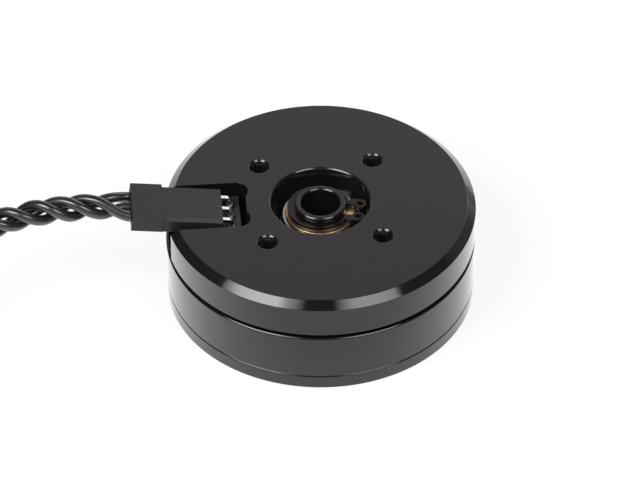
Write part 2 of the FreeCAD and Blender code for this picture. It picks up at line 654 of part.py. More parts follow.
def rotor_magnets():
    """Arc magnets bonded inside the flux ring."""
    body = new_body("rotor_magnets", z="magnet_bottom")
    outline = new_sketch(body, "outline", "XY_Plane")
    half = "(magnet_inner_r * tan(180 / magnet_count) - magnet_spacing / 2)"
    inner, outer = (f"~sqrt({radius} ^ 2 - {half} ^ 2)" for radius in ("magnet_inner_r", "magnet_outer_r"))
    add_outline(outline, [(inner, f"-{half}"), (outer, f"-{half}"), (outer, half), (inner, half)],
                {1: ("0", "0", "magnet_outer_r", True), 3: ("0", "0", "magnet_inner_r", False)})
    polar(body, "poles", [pad(body, "magnet", outline, "magnet_top - magnet_bottom")], "magnet_count")


def hollow_shaft():
    """Tube that joins the end cap to both bearings, with a groove for the retaining ring."""
    body = new_body("hollow_shaft")
    bore, groove_top = "shaft_bore / 2", "clip_bottom + clip_thickness + 2 * clip_play"
    revolve(body, "turned", [
        (f"{bore} + shaft_chamfer", "0"), ("shaft_r - shaft_chamfer", "0"), ("shaft_r", "shaft_chamfer"),
        ("shaft_r", "clip_bottom"), ("groove_r", "clip_bottom"), ("groove_r", groove_top),
        ("shaft_r", groove_top), ("shaft_r", "shaft_top - shaft_chamfer"),
        ("shaft_r - shaft_chamfer", "shaft_top"), (f"{bore} + shaft_chamfer", "shaft_top"),
        (bore, "shaft_top - shaft_chamfer"), (bore, "shaft_chamfer"),
    ])


def shim_washer():
    """Brass washer between the upper bearing's inner ring and the retaining ring."""
    body = new_body("shim_washer", z="bearing_top")
    outline = new_sketch(body, "outline", "XY_Plane")
    add_circle(outline, "0", "0", "washer_dia / 2")
    add_circle(outline, "0", "0", "shaft_hole_r")
    pad(body, "washer", outline, "washer_thickness")


def retaining_ring():
    """External retaining ring with two drilled ears."""
    body = new_body("retaining_ring", "0", "0", "clip_bottom", Vector(0, 0, 1), "clip_angle")
    band = new_sketch(body, "band_outline", "XY_Plane")
    inside = "groove_r + clip_play"
    add_circle(band, "-clip_offset", "0", f"{inside} + clip_band + clip_offset")
    add_circle(band, "0", "0", inside)
    pad(body, "band", band, "clip_thickness")
    ears = new_sketch(body, "ear_outline", "XY_Plane")
    root, near, far = f"{inside} + clip_band / 2", "clip_gap / 2", "(ear_place + ear_radius)"
    neck = "~ear_reach - sqrt(ear_radius ^ 2 - (clip_gap / 2 - ear_place) ^ 2)"
    add_outline(ears, [(root, near), (neck, near), ("ear_reach", f"~{far}"), (root, far)],
                {1: ("ear_reach", "ear_place", "ear_radius", True)})
    ear = pad(body, "ear", ears, "clip_thickness")
    doc.recompute()
    pair = add_feature(body, "Mirrored", "ears")
    pair.Originals = [ear]
    pair.MirrorPlane = (origin_of(body, "XZ_Plane"), [""])
    body.Tip = pair
    gap = new_sketch(body, "gap_outline", "XY_Plane", "clip_thickness")
    add_box(gap, "groove_r / 2", f"-{near}", f"{inside} + clip_band + 2 * clip_play", near)
    pocket(body, "gap", gap)
    holes = new_sketch(body, "plier_holes", "XY_Plane", "clip_thickness")
    add_circle(holes, "ear_reach", "ear_place", "ear_hole_dia / 2")
    add_circle(holes, "ear_reach", "-ear_place", "ear_hole_dia / 2")
    pocket(body, "drilled", holes)


# Plug-in lead

def plug_body(label, place):
    """A sub-part of a plug: X points to its front face, which is at x = 0."""
    if place == "motor":
        return new_body(label, "-plug_front", "0", "plug_seat", Vector(0, 1, 0), "plug_tilt")
    end, turn = "(coil_top_start - coil_top_angle)", "(coil_top_start - coil_top_angle - 90)"
    return new_body(
        label, f"coil_x + coil_top_radius * cos({end}) + plug_length * cos({turn})",
        f"coil_top_radius * sin({end}) + plug_length * sin({turn})", "coil_layer", Vector(0, 0, 1), turn)


def plug_housing(label, place):
    """Moulded housing with three contact cavities, pin windows and latch windows."""
    body = plug_body(label, place)
    half, top = "plug_width / 2", "plug_height"
    collar = new_sketch(body, "collar_section", "YZ_Plane", "-plug_length")
    add_box(collar, f"-{half}", "0", half, top)
    pad(body, "collar", collar, "collar_length")
    nose = new_sketch(body, "nose_section", "YZ_Plane", "-(plug_length - collar_length)")
    side, crown = "(plug_width / 2 - nose_step)", "(plug_height - nose_step)"
    add_outline(nose, [
        (f"-{side}", "0"), (side, "0"), (side, f"{crown} - plug_bevel"), (f"{side} - plug_bevel", crown),
        (f"-({side} - plug_bevel)", crown), (f"-{side}", f"{crown} - plug_bevel"),
    ])
    pad(body, "nose", nose, "plug_length - collar_length")
    row = {}
    for name, plane_offset, width, height in (
            ("cavity", "-plug_length", "cavity_width", "cavity_height"),
            ("window", "-front_wall", "pin_window", "pin_window")):
        sketch = new_sketch(body, f"{name}_section", "YZ_Plane", plane_offset)
        add_box(sketch, f"-pin_pitch - {width} / 2", f"pin_level - {height} / 2",
                f"-pin_pitch + {width} / 2", f"pin_level + {height} / 2")
        depth = "plug_length - front_wall" if name == "cavity" else "front_wall"
        row[name] = pocket(body, name, sketch, depth, backwards=True)
    latch = new_sketch(body, "latch_outline", "XY_Plane")
    add_box(latch, "-(latch_start + latch_length)", "-pin_pitch - latch_width / 2",
            "-latch_start", "-pin_pitch + latch_width / 2")
    row["latch"] = pocket(body, "latch", latch, "plug_height / 2", backwards=True)
    row_of_three(body, "row", [row["cavity"], row["window"], row["latch"]])


def plug_contacts(label, place):
    """Three socket contacts with crimp barrels inside a plug."""
    body = plug_body(label, place)
    middle = "pin_level"
    width, height = "(cavity_width / 2 - contact_play)", "(cavity_height / 2 - contact_play)"
    box = new_sketch(body, "socket_section", "YZ_Plane", "-socket_end")
    add_box(box, f"-pin_pitch - {width}", f"{middle} - {height}", f"-pin_pitch + {width}", f"{middle} + {height}")
    add_box(box, "-pin_pitch - socket_bore / 2", f"{middle} - socket_bore / 2",
            "-pin_pitch + socket_bore / 2", f"{middle} + socket_bore / 2")
    socket = pad(body, "socket", box, "socket_length")
    barrel = new_sketch(body, "barrel_section", "YZ_Plane", "-(socket_end + barrel_length)")
    add_circle(barrel, "-pin_pitch", middle, "barrel_dia / 2")
    row_of_three(body, "row", [socket, pad(body, "barrel", barrel, "barrel_length")])


def lead_tube():
    """Tube along the free stretch of the lead: straight runs joined by tangent arcs."""
    tilt = Rotation(Vector(0, 1, 0), size("plug_tilt"))
    front = Vector(-size("plug_front"), 0, size("plug_seat"))
    exit_point = front + tilt.multVec(Vector(-size("plug_length"), 0, size("plug_height / 2")))
    outwards = tilt.multVec(Vector(-1, 0, 0))
    entry_radius = size("coil_turn_radius + lead_dia / 5")
    entry_angle = math.radians(size("coil_entry_angle"))
    entry = Vector(size("coil_x") + entry_radius * math.cos(entry_angle), entry_radius * math.sin(entry_angle),
                   size("coil_floor + lead_dia / 2 + coil_entry_rise"))
    points = [exit_point, exit_point + outwards * size("lead_first_run")]
    way = entry - points[1]
    points += [points[1] + Vector(*(share * length for share, length in zip(shares, way))) for shares in LEAD_SHARES]
    edges, here = [], points[0]
    for before, corner, after in zip(points, points[1:], points[2:]):
        arrive, leave = corner - before, after - corner
        turn = arrive.getAngle(leave)
        trim = ARC_SHARE * min(arrive.Length, leave.Length)
        radius = trim / math.tan(turn / 2)
        print(f"lead bend at {tuple(round(value, 2) for value in corner)}: radius {radius:.1f} mm")
        start = corner - arrive.normalize() * trim
        end = corner + leave.normalize() * trim
        inwards = (leave - arrive).normalize()
        crown = corner + inwards * radius * (1 / math.cos(turn / 2) - 1)
        edges += [Part.LineSegment(here, start).toShape(), Part.Arc(start, crown, end).toShape()]
        here = end
    edges.append(Part.LineSegment(here, points[-1]).toShape())
    path = Part.Wire(edges)
    section = Part.Wire(Part.makeCircle(size("lead_dia / 2"), points[0], outwards))
    tube = path.makePipeShell([section], True, True)
    expected = math.pi * size("lead_dia / 2") ** 2 * path.Length
    if abs(tube.Volume / expected - 1) > VOLUME_TOLERANCE:
        raise RuntimeError("the lead's tube has the wrong volume")
    feature = doc.addObject("Part::Feature", "lead_tube")
    feature.Label = "lead_tube"
    feature.Shape = tube
    feature.Placement = Placement()
    pieces.append(feature)


def lead_coil():
    """Outer shape of the coiled lead: two turns side by side and part of a third on top."""
    body = new_body("lead_coil", "coil_x", "0", "0", Vector(0, 0, 1), "coil_top_start - coil_top_angle")
    revolve(body, "layer", [("coil_inner_r", "coil_floor"), ("coil_outer_r", "coil_floor"),
                            ("coil_outer_r", "coil_layer"), ("coil_inner_r", "coil_layer")])
    half = "lead_dia / 2"
    top = revolve(body, "top", [(f"coil_top_radius - {half}", "coil_layer"), (f"coil_top_radius + {half}", "coil_layer"),
                                (f"coil_top_radius + {half}", "coil_layer + lead_dia"),
                                (f"coil_top_radius - {half}", "coil_layer + lead_dia")])
    top.setExpression("Angle", tie("coil_top_angle"))


def coil_tie():
    """Strap round the coiled lead."""
    body = new_body("coil_tie", "coil_x", "0", "0", Vector(0, 0, 1), "tie_angle")
    section = new_sketch(body, "section", "XZ_Plane")
    for grow in ("tie_play", "(tie_play + tie_thickness)"):
        left, right = f"coil_inner_r - tie_slack - {grow}", f"coil_outer_r + {grow}"
        low, shoulder = f"coil_floor - {grow}", f"coil_layer + {grow} / 2"
        high, reach = f"coil_layer + lead_dia + {grow}", f"(lead_dia / 2 + {grow} / 2)"
        add_outline(section, [
            (left, low if grow == "tie_play" else "0"), (right, low if grow == "tie_play" else "0"),
            (right, shoulder), (f"coil_top_radius + {reach}", high),
            (f"coil_top_radius - tie_slack - {reach}", high), (left, shoulder),
        ])
    pad(body, "strap", section, "tie_width", both_sides=True)


def write_parts():
    """Tests every object of the document, then writes each sub-part to its own file."""
    doc.recompute()
    failed = [item.Name for item in doc.Objects if {"Invalid", "Error"} & set(item.State)]
    failed += [piece.Label for piece in pieces if piece.Shape.isNull() or not piece.Shape.isValid()]
    if failed:
        raise RuntimeError(f"not built: {failed}")
    os.makedirs("parts", exist_ok=True)
    for piece in pieces:
        piece.Shape.exportStep(f"parts/{piece.Label}.step")
        print(f"{piece.Label}: {len(piece.Shape.Solids)} solids, {piece.Shape.Volume:.1f} mm3")


fill_sheets()
stator_base()
stator_core()
stator_windings()
terminal_board()
header_pins()
solder_joints()
phase_wires()
bearing("upper", "upper_bearing")
bearing("lower", "boss_top")
rotor_end_cap()
flux_ring()
rotor_magnets()
hollow_shaft()
shim_washer()
retaining_ring()
plug_housing("plug_housing", "motor")
plug_contacts("plug_contacts", "motor")
lead_tube()
lead_coil()
coil_tie()
plug_housing("end_plug_housing", "coil")
plug_contacts("end_plug_contacts", "coil")
write_parts()
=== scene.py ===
"""Studio picture of a hollow-shaft gimbal motor with its plug-in twisted lead."""

import json
import logging
import math
from dataclasses import dataclass, field
from enum import Enum

import bmesh
import bpy
from mathutils import Matrix, Vector

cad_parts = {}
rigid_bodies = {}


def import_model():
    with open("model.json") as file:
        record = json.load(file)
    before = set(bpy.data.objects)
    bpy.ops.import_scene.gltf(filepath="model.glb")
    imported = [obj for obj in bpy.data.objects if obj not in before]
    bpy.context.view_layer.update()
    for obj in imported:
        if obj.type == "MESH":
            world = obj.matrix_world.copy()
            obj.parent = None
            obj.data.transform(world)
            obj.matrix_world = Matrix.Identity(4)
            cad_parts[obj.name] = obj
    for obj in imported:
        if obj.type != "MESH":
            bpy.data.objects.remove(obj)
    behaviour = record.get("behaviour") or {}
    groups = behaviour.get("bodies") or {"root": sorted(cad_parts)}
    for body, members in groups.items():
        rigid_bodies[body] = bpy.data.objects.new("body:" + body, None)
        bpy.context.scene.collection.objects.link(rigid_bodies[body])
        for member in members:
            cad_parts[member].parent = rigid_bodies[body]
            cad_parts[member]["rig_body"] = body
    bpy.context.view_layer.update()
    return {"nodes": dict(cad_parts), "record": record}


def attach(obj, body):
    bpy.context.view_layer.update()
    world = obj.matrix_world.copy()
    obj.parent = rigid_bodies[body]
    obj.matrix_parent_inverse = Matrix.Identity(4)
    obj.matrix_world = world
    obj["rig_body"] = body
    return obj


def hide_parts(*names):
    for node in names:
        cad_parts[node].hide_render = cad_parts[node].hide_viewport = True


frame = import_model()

log = logging.getLogger("gimbal_motor")
MM = 0.001
# The length over which a wave texture repeats at a scale of 1
WAVE_PERIOD = math.pi / 10
# Scale of a surface's clouded tone as a share of its pattern's, and the cloud values between which tone and
# gloss change
CLOUD_SCALE = 0.12
TONE_CLOUDS = (0.35, 0.65)
GLOSS_CLOUDS = (0.3, 0.7)
# The picture's width in pixels: the focal length is given in them
IMAGE_WIDTH = 641
Colour = tuple[float, float, float, float]


def linear(colour: str) -> Colour:
    """Turns an sRGB hex colour into a linear one.

    Args:
        colour: six hex digits after a #.

    Returns:
        Red, green, blue and an alpha of 1.
    """
    parts = [int(colour[start:start + 2], 16) / 255 for start in (1, 3, 5)]
    return (*[part / 12.92 if part <= 0.04045 else ((part + 0.055) / 1.055) ** 2.4 for part in parts], 1.0)


def add_node(tree: bpy.types.NodeTree, kind: str, inputs: dict[str | int, object] | None = None,
             **settings: object) -> bpy.types.Node:
    """Adds a node with its settings, values and links.

    Args:
        tree: the tree that gets the node.
        kind: the node's type name.
        inputs: socket name or number to a value, or to the output socket that feeds it.
        settings: the node's own properties.

    Returns:
        The new node.
    """
    node = tree.nodes.new(kind)
    for name, value in settings.items():
        setattr(node, name, value)
    for name, value in (inputs or {}).items():
        if isinstance(value, bpy.types.NodeSocket):
            tree.links.new(value, node.inputs[name])
        else:
            node.inputs[name].default_value = value
    return node


def fresh_tree(owner: bpy.types.Material | bpy.types.Light | bpy.types.World) -> bpy.types.NodeTree:
    """Turns on the nodes of a material, lamp or world and clears them.

    Args:
        owner: what the nodes belong to.

    Returns:
        The empty tree.
    """
    owner.use_nodes = True
    owner.node_tree.nodes.clear()
    return owner.node_tree


def ramp(tree: bpy.types.NodeTree, value: bpy.types.NodeSocket,
         stops: list[tuple[float, Colour]]) -> bpy.types.NodeSocket:
    """Turns a value into a colour by stops.

    Args:
        tree: the tree that gets the ramp.
        value: the socket that gives the place along the ramp.
        stops: each stop's place and linear colour.

    Returns:
        The socket that gives the colour.
    """
    node = add_node(tree, "ShaderNodeValToRGB", {"Fac": value})
    for place, _ in stops[1:-1]:
        node.color_ramp.elements.new(place)
    for stop, (place, colour) in zip(node.color_ramp.elements, stops):
        stop.position = place
        stop.color = colour
    return node.outputs["Color"]


def grey(lit: float) -> Colour:
    """Gives a linear grey from its lightness."""
    return lit, lit, lit, 1.0


def eased(share: float) -> float:
    """Turns a share from 0 to 1 into one that starts and stops gently."""
    return share * share * (3 - 2 * share)


class Facing(Enum):
    """Which way a hole's mouth looks, as the turn about X that takes it there."""

    UP = 0.0
    DOWN = math.pi


class Pattern(Enum):
    """How a surface was made, as far as the eye can tell."""

    GRAIN = "fine even grain"
    RINGS = "turned rings about the motor's axis"
    LAYERS = "stacked sheets"
    STRANDS = "fine strands along the piece"


@dataclass(frozen=True)
class Finish:
    """A surface: what it is made of, its colours, gloss, pattern at its real size and clear film."""

    name: str
    colour: str
    worn: str
    metallic: float
    roughness: float
    spread: float
    pattern: Pattern
    pattern_mm: float
    bump_mm: float
    ior: float = 1.5
    film: float = 0.0
    film_ior: float = 1.35

    def material(self) -> bpy.types.Material:
        """Makes the material, or gives the one already made.

        Returns:
            The material of this finish.
        """
        found = bpy.data.materials.get(self.name)
        if found:
            return found
        material = bpy.data.materials.new(self.name)
        tree = fresh_tree(material)
        place = add_node(tree, "ShaderNodeTexCoord").outputs["Object"]
        height = self._height(tree, place)
        cloud = add_node(tree, "ShaderNodeTexNoise", {
            "Vector": place, "Scale": CLOUD_SCALE / (self.pattern_mm * MM), "Detail": 4.0,
            "Roughness": 0.6}).outputs["Fac"]
        tone = add_node(tree, "ShaderNodeMapRange", {
            "Value": cloud, "From Min": TONE_CLOUDS[0], "From Max": TONE_CLOUDS[1]})
        colour = add_node(tree, "ShaderNodeMix", {
            0: tone.outputs["Result"], 6: linear(self.colour), 7: linear(self.worn)}, data_type="RGBA")
        rough = add_node(tree, "ShaderNodeMapRange", {
            "Value": cloud, "From Min": GLOSS_CLOUDS[0], "From Max": GLOSS_CLOUDS[1],
            "To Min": self.roughness - self.spread, "To Max": self.roughness + self.spread})
        bump = add_node(tree, "ShaderNodeBump", {
            "Height": height, "Strength": 1.0, "Distance": self.bump_mm * MM})
        shader = add_node(tree, "ShaderNodeBsdfPrincipled", {
            "Base Color": colour.outputs[2], "Metallic": self.metallic, "Roughness": rough.outputs["Result"],
            "IOR": self.ior, "Coat Weight": self.film, "Coat IOR": self.film_ior,
            "Coat Roughness": self.roughness, "Normal": bump.outputs["Normal"]})
        add_node(tree, "ShaderNodeOutputMaterial", {"Surface": shader.outputs["BSDF"]})
        return material

    def _height(self, tree: bpy.types.NodeTree, place: bpy.types.NodeSocket) -> bpy.types.NodeSocket:
        """Draws the height of the pattern at its real size.

        Args:
            tree: the material's tree.
            place: the coordinates to draw it on.

        Returns:
            The socket that gives the height from 0 to 1.
        """
        if self.pattern is Pattern.GRAIN:
            return add_node(tree, "ShaderNodeTexNoise", {
                "Vector": place, "Scale": 1 / (self.pattern_mm * MM), "Detail": 2.0}).outputs["Fac"]
        scale = WAVE_PERIOD / (self.pattern_mm * MM)
        kinds = {Pattern.RINGS: {"wave_type": "RINGS", "rings_direction": "Z"},
                 Pattern.LAYERS: {"wave_type": "BANDS", "bands_direction": "Z"},
                 Pattern.STRANDS: {"wave_type": "BANDS", "bands_direction": "DIAGONAL"}}
        return add_node(tree, "ShaderNodeTexWave", {
            "Vector": place, "Scale": scale, "Distortion": 0.6, "Detail": 1.0, "Detail Scale": 1.5},
            **kinds[self.pattern]).outputs["Fac"]


# Black dyed anodised aluminium, its sealed layer under a film of oil: both mirror the studio more the flatter
# they are seen
ANODISED = Finish("black_anodised_aluminium", "#191719", "#1c1a1c", 0.0, 0.08, 0.01, Pattern.GRAIN, 0.3,
                  0.00005, film=0.88)
# The same dye where a cutter left the aluminium matt, in a darker colour that is painted shade in the base's
# slot
MILLED_AND_SHADED = Finish("black_milled_aluminium_painted_shade", "#0f0e0f", "#121112", 0.0, 0.5, 0.05, Pattern.GRAIN, 0.15, 0.001,
                ior=1.4)
# Blackened and oiled steel of bell and shaft: the same black with the same gloss
BLACKENED = Finish("blackened_steel", "#191719", "#1d1b1d", 0.0, 0.08, 0.01, Pattern.GRAIN, 0.3, 0.00005,
                   film=0.88)
# Oiled spring steel: brownish black
OILED = Finish("oiled_spring_steel", "#17110f", "#1e1815", 0.0, 0.16, 0.03, Pattern.GRAIN, 0.2, 0.0002)
# Ground bearing steel: bright rings left by the grinding wheel
GROUND = Finish("ground_bearing_steel", "#b9b9bb", "#d2d2d4", 1.0, 0.22, 0.05, Pattern.RINGS, 0.08, 0.0008)
# Polished balls
POLISHED = Finish("polished_ball_steel", "#c9cacc", "#d8d9da", 1.0, 0.08, 0.02, Pattern.GRAIN, 0.2, 0.0002)
# Rolled brass sheet, toned brown
BRASS = Finish("rolled_brass", "#ffd6ab", "#f5c690", 1.0, 0.34, 0.04, Pattern.GRAIN, 0.4, 0.0)
# Stamped brass of the ball cages
CAGE = Finish("stamped_cage_brass", "#b4904f", "#9a7a40", 1.0, 0.34, 0.05, Pattern.GRAIN, 0.2, 0.001)
# Tin plated contact strip and pins
PLATED = Finish("tin_plated_pins", "#f3f0e6", "#e6e0cc", 1.0, 0.18, 0.04, Pattern.GRAIN, 0.3, 0.0004)
# Solder: bright, a little frosted
SOLDER = Finish("tin_solder", "#b9babc", "#a2a4a7", 1.0, 0.3, 0.05, Pattern.GRAIN, 0.4, 0.001)
# Satin solder mask over glass laminate
BOARD = Finish("black_solder_mask", "#363433", "#3c3a38", 0.0, 0.33, 0.04, Pattern.GRAIN, 0.4, 0.001)
# Moulded nylon with a spark eroded texture
NYLON = Finish("moulded_black_nylon", "#282628", "#2c2a2c", 0.0, 0.42, 0.04, Pattern.GRAIN, 0.12, 0.002)
# Glossy soft insulation of the wires
INSULATION = Finish("black_wire_insulation", "#1e1d1e", "#262526", 0.0, 0.27, 0.04, Pattern.GRAIN, 0.4, 0.001,
                    ior=1.95)
# Enamelled copper, ribbed about every 0.35 mm like wound wire
ENAMEL = Finish("enamelled_copper", "#9a4f22", "#7c3a17", 0.85, 0.28, 0.05, Pattern.RINGS, 0.35, 0.06)
# Lacquered laminations 0.35 mm thick
LAMINATED = Finish("lacquered_laminations", "#6c6d70", "#595a5d", 0.9, 0.42, 0.06, Pattern.LAYERS, 0.35, 0.03)
# Nickel plated magnets
NICKEL = Finish("nickel_plated_magnet", "#bdbbb6", "#a9a7a2", 1.0, 0.3, 0.05, Pattern.GRAIN, 0.4, 0.002)
# Woven strap with ribs about 0.6 mm apart
STRAP = Finish("woven_black_strap", "#1a191a", "#262526", 0.0, 0.75, 0.05, Pattern.STRANDS, 0.6, 0.08)

SLOT_FINISH = {
    "dark_anodised": ANODISED, "dark_steel": BLACKENED, "lamination_steel": LAMINATED,
    "enamelled_copper": ENAMEL, "black_board": BOARD, "plated_pins": PLATED, "solder": SOLDER,
    "bearing_steel": GROUND, "ball_steel": POLISHED, "cage_brass": CAGE, "magnet": NICKEL, "brass": BRASS,
    "spring_steel": OILED, "plug_plastic": NYLON, "wire_black": INSULATION, "tie_black": STRAP,
}
NODE_SLOT = {row["node"]: row["material_slot"] for row in frame["record"]["subparts"]}


def add_object(name: str, data: bpy.types.ID) -> bpy.types.Object:
    """Links a mesh, lamp or camera into the scene.

    Args:
        name: the object's name.
        data: what it shows or does.

    Returns:
        The new object, at the origin.
    """
    made = bpy.data.objects.new(name, data)
    bpy.context.scene.collection.objects.link(made)
    return made


def new_piece(name: str, mesh: bpy.types.Mesh, finish: Finish | None = None) -> bpy.types.Object:
    """Links a mesh into the scene as a piece at the origin.

    Args:
        name: the piece's name.
        mesh: its mesh, in metres in the motor's frame.
        finish: what it is made of.

    Returns:
        The new object.
    """
    piece = add_object(name, mesh)
    if finish:
        mesh.materials.clear()
        mesh.materials.append(finish.material())
    return piece


def bake_modifiers(piece: bpy.types.Object) -> None:
    """Turns a piece and its modifiers into a plain mesh.

    Args:
        piece: the piece to bake.
    """
    bpy.context.view_layer.update()
    done = bpy.data.meshes.new_from_object(piece.evaluated_get(bpy.context.evaluated_depsgraph_get()))
    piece.modifiers.clear()
    piece.data = done


def curve_mesh(curve: bpy.types.Curve) -> bpy.types.Mesh:
    """Turns a curve into a mesh.

    Args:
        curve: the curve, which is removed.

    Returns:
        The mesh of its line or tube.
    """
    holder = bpy.data.objects.new(f"{curve.name}_holder", curve)
    mesh = bpy.data.meshes.new_from_object(holder)
    bpy.data.objects.remove(holder)
    bpy.data.curves.remove(curve)
    return mesh


def smooth(mesh: bpy.types.Mesh, angle: float) -> None:
    """Shades a mesh smooth except over edges sharper than an angle in degrees."""
    mesh.polygons.foreach_set("use_smooth", [True] * len(mesh.polygons))
    mesh.set_sharp_from_angle(angle=math.radians(angle))


@dataclass(frozen=True)
class Pocket:
    """A milled hollow of a piece: the box that its faces lie in, and their finish."""

    low_mm: tuple[float, float, float]
    high_mm: tuple[float, float, float]
    finish: Finish

    def paint(self, mesh: bpy.types.Mesh) -> None:
        """Gives the pocket's faces their own finish.

        Args:
            mesh: the piece's finished mesh.
        """
        mesh.materials.append(self.finish.material())
        for face in mesh.polygons:
            limits = zip(self.low_mm, face.center, self.high_mm)
            if all(low * MM < place < high * MM for low, place, high in limits):
                face.material_index = len(mesh.materials) - 1


@dataclass
class DressedNode:
    """A rigid CAD piece with its edges broken as the real one's are, and its finish."""

    node: str
    edge_mm: float
    segments: int = 2
    pocket: Pocket | None = None
    weld_mm: float = 0.001
    flat_angle: float = 0.5
    flat_weight: int = 100
    sharp_angle: float = 28.0

    def build(self) -> bpy.types.Object:
        """Copies the node's shape, rounds its edges and puts it in the node's place.

        Returns:
            The piece that stands for the node.
        """
        source = frame["nodes"][self.node]
        shape = bmesh.new()
        shape.from_mesh(source.data)
        bmesh.ops.remove_doubles(shape, verts=shape.verts, dist=self.weld_mm * MM)
        bmesh.ops.dissolve_limit(shape, angle_limit=math.radians(self.flat_angle), verts=shape.verts,
                                 edges=shape.edges)
        for face in shape.faces:
            face.smooth = True
        mesh = bpy.data.meshes.new(f"{self.node}_dressed")
        shape.to_mesh(mesh)
        shape.free()
        if "custom_normal" in mesh.attributes:
            mesh.attributes.remove(mesh.attributes["custom_normal"])
        slot = NODE_SLOT[self.node]
        piece = new_piece(f"{self.node}_dressed", mesh, SLOT_FINISH[slot])
        edge = piece.modifiers.new("broken_edge", "BEVEL")
        edge.width = self.edge_mm * MM
        edge.segments = self.segments
        edge.limit_method = "ANGLE"
        edge.angle_limit = math.radians(self.sharp_angle)
        edge.use_clamp_overlap = True
        edge.miter_outer = "MITER_ARC"
        piece.modifiers.new("flat_faces_stay_flat", "WEIGHTED_NORMAL").weight = self.flat_weight
        bake_modifiers(piece)
        if self.pocket:
            self.pocket.paint(piece.data)
        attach(piece, source["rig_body"])
        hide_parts(self.node)
        return piece


def start_tree(name: str, inputs: dict[str, str]) -> tuple[bpy.types.NodeTree, bpy.types.NodeOutputs]:
    """Starts a Geometry Nodes tree with named inputs and one geometry output.

    Args:
        name: the tree's name.
        inputs: input name to socket type.

    Returns:
        The tree, and the sockets that give its inputs.
    """
    tree = bpy.data.node_groups.new(name, "GeometryNodeTree")
    for label, kind in inputs.items():
        tree.interface.new_socket(label, in_out="INPUT", socket_type=kind)
    tree.interface.new_socket("Geometry", in_out="OUTPUT", socket_type="NodeSocketGeometry")
    return tree, add_node(tree, "NodeGroupInput").outputs


def end_tree(tree: bpy.types.NodeTree, geometry: bpy.types.NodeSocket, finish: Finish) -> None:
    """Ends a Geometry Nodes tree with real geometry in a finish.

    Args:
        tree: the tree to end.
        geometry: the socket that gives its geometry.
        finish: what the geometry is made of.
    """
    real = add_node(tree, "GeometryNodeRealizeInstances", {0: geometry})
    done = add_node(tree, "GeometryNodeSetMaterial", {
        "Geometry": real.outputs[0], "Material": finish.material()})
    add_node(tree, "NodeGroupOutput", {"Geometry": done.outputs[0]})


def grow(name: str, tree: bpy.types.NodeTree, values: dict[str, float | int]) -> bpy.types.Object:
    """Grows a piece with a Geometry Nodes tree and turns it into a plain mesh.

    Args:
        name: the piece's name.
        tree: the tree that makes it.
        values: input name to value.

    Returns:
        The grown piece.
    """
    piece = new_piece(name, bpy.data.meshes.new(name))
    grower = piece.modifiers.new("grower", "NODES")
    grower.node_group = tree
    for socket in tree.interface.items_tree:
        if socket.in_out == "INPUT":
            grower[socket.identifier] = values[socket.name]
    bake_modifiers(piece)
    return piece


